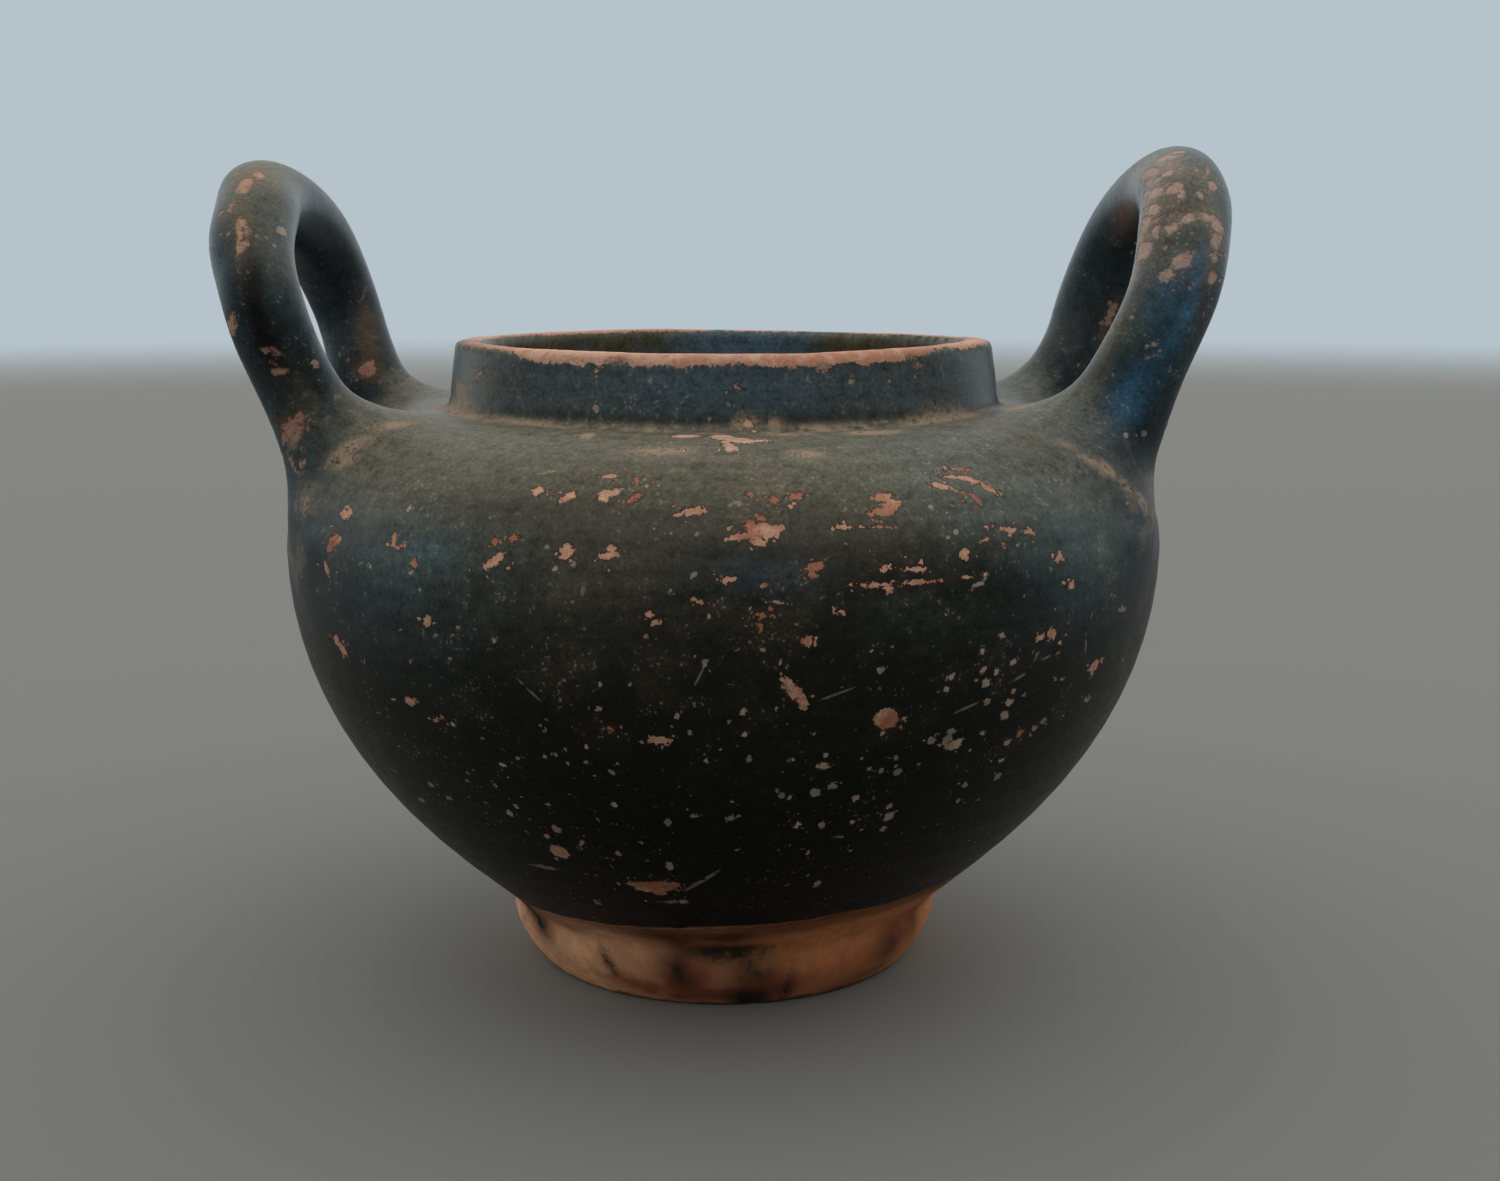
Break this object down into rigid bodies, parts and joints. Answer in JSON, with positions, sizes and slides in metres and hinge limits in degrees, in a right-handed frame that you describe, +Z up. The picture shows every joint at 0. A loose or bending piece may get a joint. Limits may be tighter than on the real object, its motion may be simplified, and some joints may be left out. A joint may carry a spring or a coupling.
{
  "type": "pyxis",
  "caption": "Small squat black-gloss clay pot with an upright collar, a low ring foot and upright loop handles on its shoulder; open and empty, without its lid.",
  "frame": {"origin": "on the pot's axis, in the plane that the ring foot rests on", "axes": "+Z up along the pot's axis, +X through the middle of the right-hand handle, +Y to the back"},
  "size_m": [0.1181, 0.105, 0.0989],
  "materials": {
    "black_gloss_clay": "semi-gloss black slip over orange clay, chipped and worn, with a bare clay foot"
  },
  "bodies": {
    "root": {"pyxis": "black_gloss_clay"}
  },
  "joints": []
}
